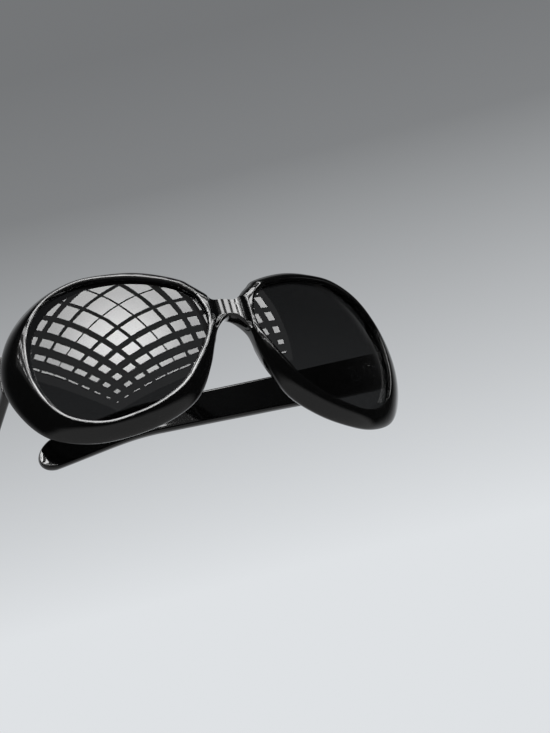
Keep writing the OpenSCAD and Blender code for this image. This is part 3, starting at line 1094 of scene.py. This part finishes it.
@dataclass
class Skylight(MeshWork):
    """A bright roof over a deep crate of bars, which only reflections see.

    Attributes:
        upright: the way from the pair to the roof.
        across: the way that one set of bars runs.
        height: how far off the crate is.
        cell: the spacing of the bars.
        cells: how many cells a side has.
        offset_shares: the roof's shift along both sets of bars, in cells.
        bar: the width of a bar.
        depth: the depth of the crate.
        short_share: how far the panel ends short of the crate on two sides, in cells.
        bright_shares: the panel's brightest place, in cells.
        bright_reach: how many cells from there it is at its dimmest.
        level: the panel's brightness.
        rim_share: how much of it is left where it is dimmest.
        bar_level: the bars' brightness.
    """

    upright: tuple[float, float, float] = (-0.1356, -0.6334, 0.7619)
    across: tuple[float, float, float] = (0.9236, 0.1974, 0.3286)
    height: float = 3.0
    cell: float = 0.504
    cells: int = 10
    offset_shares: tuple[float, float] = (-0.941, -1.106)
    bar: float = 0.036
    depth: float = 0.38
    short_share: float = 0.14
    bright_shares: tuple[float, float] = (-0.7, -1.2)
    bright_reach: float = 4.5
    level: float = 18.0
    rim_share: float = 0.45
    bar_level: float = 0.2

    def build(self) -> None:
        """Adds the bright panel and the dark crate of bars below it."""
        place = self._place()
        half = self.cells * self.cell / 2
        panel = bmesh.new()
        short = self.short_share * self.cell / 2
        bmesh.ops.create_grid(panel, x_segments=1, y_segments=1, size=half - short)
        bmesh.ops.translate(panel, vec=(short, short, self.depth), verts=panel.verts)
        crate = bmesh.new()
        bmesh.ops.create_grid(crate, x_segments=self.cells, y_segments=self.cells, size=half)
        inner = bmesh.ops.inset_individual(
            crate, faces=crate.faces[:], thickness=self.bar / 2, use_even_offset=True
        )
        rims = set(inner["faces"])
        bmesh.ops.delete(crate, geom=[face for face in crate.faces if face not in rims], context="FACES")
        walls = bmesh.ops.extrude_face_region(crate, geom=crate.faces[:])
        corners = [piece for piece in walls["geom"] if isinstance(piece, bmesh.types.BMVert)]
        bmesh.ops.translate(crate, vec=(0.0, 0.0, self.depth), verts=corners)
        self._show(panel, "skylight_panel", place, self.level, self._spread)
        self._show(crate, "skylight_crate", place, self.bar_level)

    def _place(self) -> Matrix:
        """The place of the crate's lower face, seen from the pair.

        Returns:
            Its turn and its shift.
        """
        upright = Vector(self.upright).normalized()
        along = upright.cross(Vector(self.across)).normalized()
        across = along.cross(upright)
        turn = Matrix((across, along, upright)).transposed().to_4x4()
        east, north = (share * self.cell for share in self.offset_shares)
        lift = upright * (self.height - self.depth / 2)
        return Matrix.Translation(lift + across * east + along * north) @ turn

    def _spread(self, shader: Shader) -> Signal:
        """The panel's colour, which darkens away from its brightest place.

        Args:
            shader: the panel's tree.

        Returns:
            The colour.
        """
        middle = (*(share * self.cell for share in self.bright_shares), self.depth)
        away = shader.add(
            "ShaderNodeVectorMath", {"operation": "DISTANCE"}, {0: shader.place(), 1: middle}, out="Value"
        )
        return shader.blend(away.above(0.0, self.bright_reach * self.cell), WHITE, grey(self.rim_share))

    @staticmethod
    def _show(
        shape: bmesh.types.BMesh,
        name: str,
        place: Matrix,
        level: float,
        spread: Callable[[Shader], Signal] | None = None,
    ) -> None:
        """Adds a glowing piece that only reflections see.

        Args:
            shape: its mesh, which is freed.
            name: its name.
            place: where it stands.
            level: how brightly it glows.
            spread: gives its colour, where that isn't plain white.
        """
        data = bpy.data.meshes.new(name)
        shape.to_mesh(data)
        shape.free()
        paint = bpy.data.materials.new(name)
        paint.use_nodes = True
        shader = Shader(paint.node_tree)
        colour = spread(shader) if spread else WHITE
        light = shader.add("ShaderNodeEmission", {}, {"Color": colour, "Strength": level})
        shader.node("ShaderNodeOutputMaterial", {}, {"Surface": light})
        data.materials.append(paint)
        made = bpy.data.objects.new(name, data)
        made.matrix_world = place
        bpy.context.scene.collection.objects.link(made)
        for kind in ("camera", "diffuse", "transmission", "volume_scatter", "shadow"):
            setattr(made, f"visible_{kind}", False)


@dataclass
class Studio:
    """The floor, the backdrop, the lights and the camera.

    Attributes:
        floor_half: half the floor's side.
        floor_tone: its grey.
        floor_shares: the least and the most of it in the floor's faint clouds.
        floor_cloud: how many clouds fit in a metre.
        floor_clear: how far from the pair the floor starts to fade.
        floor_fade: the stretch over which it fades to nothing.
        fade_axis: the way along which the backdrop fades, longer for a steeper fade.
        fade_middle: the fade's value at right angles to that way.
        fade_stops: places and greys of the fade.
        fade_tint: how much these lean to blue.
        aside_tone: the grey of the backdrop away from the picture.
        aside_tint: how much that leans to blue.
        dark_tone: the grey of the dark room before the pair, as gloss shows it.
        table_tone: the grey below the pair, as gloss shows it.
        fill: the even light on the pair.
        lights: the lamps.
        eye: the camera's place.
        forward: the way it looks.
        upward: the way that is up in the picture.
        focal_px: its focal length, in pixels of the picture.
        picture_width_px: the picture's width.
        sensor_mm: the sensor's width, in millimetres.
        clip: the nearest and the farthest place that it sees.
    """

    floor_half: float = 3.0
    floor_tone: float = 0.8
    floor_shares: tuple[float, float] = (0.97, 1.03)
    floor_cloud: float = 3.0
    floor_clear: float = 0.5
    floor_fade: float = 1.4
    fade_axis: tuple[float, float, float] = (0.428, 0.898, -2.035)
    fade_middle: float = 0.5
    fade_stops: tuple[tuple[float, float], ...] = ((0.0, 0.18), (0.2, 0.22), (0.8, 0.76))
    fade_tint: float = 0.03
    aside_tone: float = 0.55
    aside_tint: float = 0.02
    dark_tone: float = 0.015
    table_tone: float = 0.35
    fill: float = 0.3
    lights: tuple[Softbox, ...] = (
        Softbox("overhead", (0.1, -0.3, 1.3), (1.1, 0.8), 1.6, glossy=False),
        Softbox("rear_fill", (0.2, 1.3, 0.9), (1.0, 0.6), 1.5, glossy=False),
    )
    eye: tuple[float, float, float] = (-0.2150, -0.4903, -0.2067)
    forward: tuple[float, float, float] = (0.4380, 0.7848, 0.4385)
    upward: tuple[float, float, float] = (0.0258, -0.4986, 0.8665)
    focal_px: float = 1500.0
    picture_width_px: int = 550
    sensor_mm: float = 36.0
    clip: tuple[float, float] = (0.01, 50.0)

    def build(self) -> None:
        """Builds the whole studio."""
        self._floor()
        self._world()
        Skylight().build()
        for light in self.lights:
            light.build()
        self._camera()
        bpy.context.scene.view_settings.view_transform = "Standard"

    def _floor(self) -> None:
        """A plain pale floor, which fades out far away and which a low camera looks up through."""
        shape = bmesh.new()
        bmesh.ops.create_grid(shape, x_segments=1, y_segments=1, size=self.floor_half)
        data = bpy.data.meshes.new("studio_floor")
        shape.to_mesh(data)
        shape.free()
        paint = bpy.data.materials.new("floor_paint")
        paint.use_nodes = True
        shader = Shader(paint.node_tree)
        cloud = shader.noise(self.floor_cloud, detail=2.0)
        low, high = (grey(self.floor_tone * share) for share in self.floor_shares)
        top = shader.add("ShaderNodeBsdfDiffuse", {}, {"Color": shader.blend(cloud, low, high)})
        under = shader.add("ShaderNodeBsdfTransparent")
        back = shader.add("ShaderNodeNewGeometry", out="Backfacing")
        away = shader.add("ShaderNodeVectorMath", {"operation": "LENGTH"}, {0: shader.place()}, out="Value")
        clear = back.math("MAXIMUM", back, away.above(self.floor_clear, self.floor_fade))
        both = shader.add("ShaderNodeMixShader", {}, {0: clear, 1: top, 2: under})
        shader.node("ShaderNodeOutputMaterial", {}, {"Surface": both})
        data.materials.append(paint)
        made = bpy.data.objects.new("studio_floor", data)
        made.visible_glossy = False
        bpy.context.scene.collection.objects.link(made)

    def _world(self) -> None:
        """A pale backdrop that fades, seen by the eye, through glass and in gloss, and an even fill."""
        world = bpy.data.worlds.new("studio_world")
        world.use_nodes = True
        bpy.context.scene.world = world
        shader = Shader(world.node_tree)
        way = shader.add("ShaderNodeTexCoord", out="Generated")
        fade = self._along(shader, way, self.fade_axis) + self.fade_middle
        stops = [(place, grey(tone, self.fade_tint)) for place, tone in self.fade_stops]
        behind = shader.add("ShaderNodeValToRGB", {"stops": stops}, {0: fade})
        ahead = self._along(shader, way, self.forward).above(edge=0.82, width=0.12)
        backdrop = shader.blend(ahead, grey(self.aside_tone, self.aside_tint), behind)
        rear = self._along(shader, way, (0.0, 1.0, 0.0)).above(edge=0.1, width=0.6)
        below = self._along(shader, way, (0.0, 0.0, -1.0)).above(edge=0.35, width=0.25)
        room = shader.blend(rear, grey(self.dark_tone), backdrop)
        gloss = shader.blend(below, room, grey(self.table_tone))
        path = shader.node("ShaderNodeLightPath")
        eye, glass, shiny = (
            Signal(shader, path.outputs[f"Is {kind} Ray"]) for kind in ("Camera", "Transmission", "Glossy")
        )
        all_rays = shader.blend(eye + glass, shader.blend(shiny, grey(self.fill), gloss), backdrop)
        sky = shader.add("ShaderNodeBackground", {}, {"Color": all_rays, "Strength": 1.0})
        shader.node("ShaderNodeOutputWorld", {}, {"Surface": sky})

    @staticmethod
    def _along(shader: Shader, way: Signal, axis: tuple[float, float, float]) -> Signal:
        """How far a direction runs along an axis."""
        dot = {"operation": "DOT_PRODUCT"}
        return shader.add("ShaderNodeVectorMath", dot, {0: way, 1: axis}, out="Value")

    def _camera(self) -> None:
        """The camera at the photograph's viewing angle."""
        data = bpy.data.cameras.new("camera")
        data.sensor_fit = "HORIZONTAL"
        data.sensor_width = self.sensor_mm
        data.lens = self.sensor_mm * self.focal_px / self.picture_width_px
        data.clip_start, data.clip_end = self.clip
        made = bpy.data.objects.new("camera", data)
        ahead = Vector(self.forward).normalized()
        side = ahead.cross(Vector(self.upward)).normalized()
        turn = Matrix((side, side.cross(ahead), -ahead)).transposed().to_4x4()
        made.matrix_world = Matrix.Translation(self.eye) @ turn
        bpy.context.scene.collection.objects.link(made)
        bpy.context.scene.camera = made


def main() -> None:
    """Builds the studio and the pair of sunglasses, and reports each piece."""
    logging.basicConfig(level=logging.INFO, format="%(name)s: %(message)s")
    Studio().build()
    assemblies = [Front(), *(TempleArm(side) for side in Side), *(HingeSet(side) for side in Side)]
    for assembly in assemblies:
        assembly.build()
        log.info("%s: %d pieces", type(assembly).__name__, len(assembly.pieces))


if __name__ == "__main__":
    main()
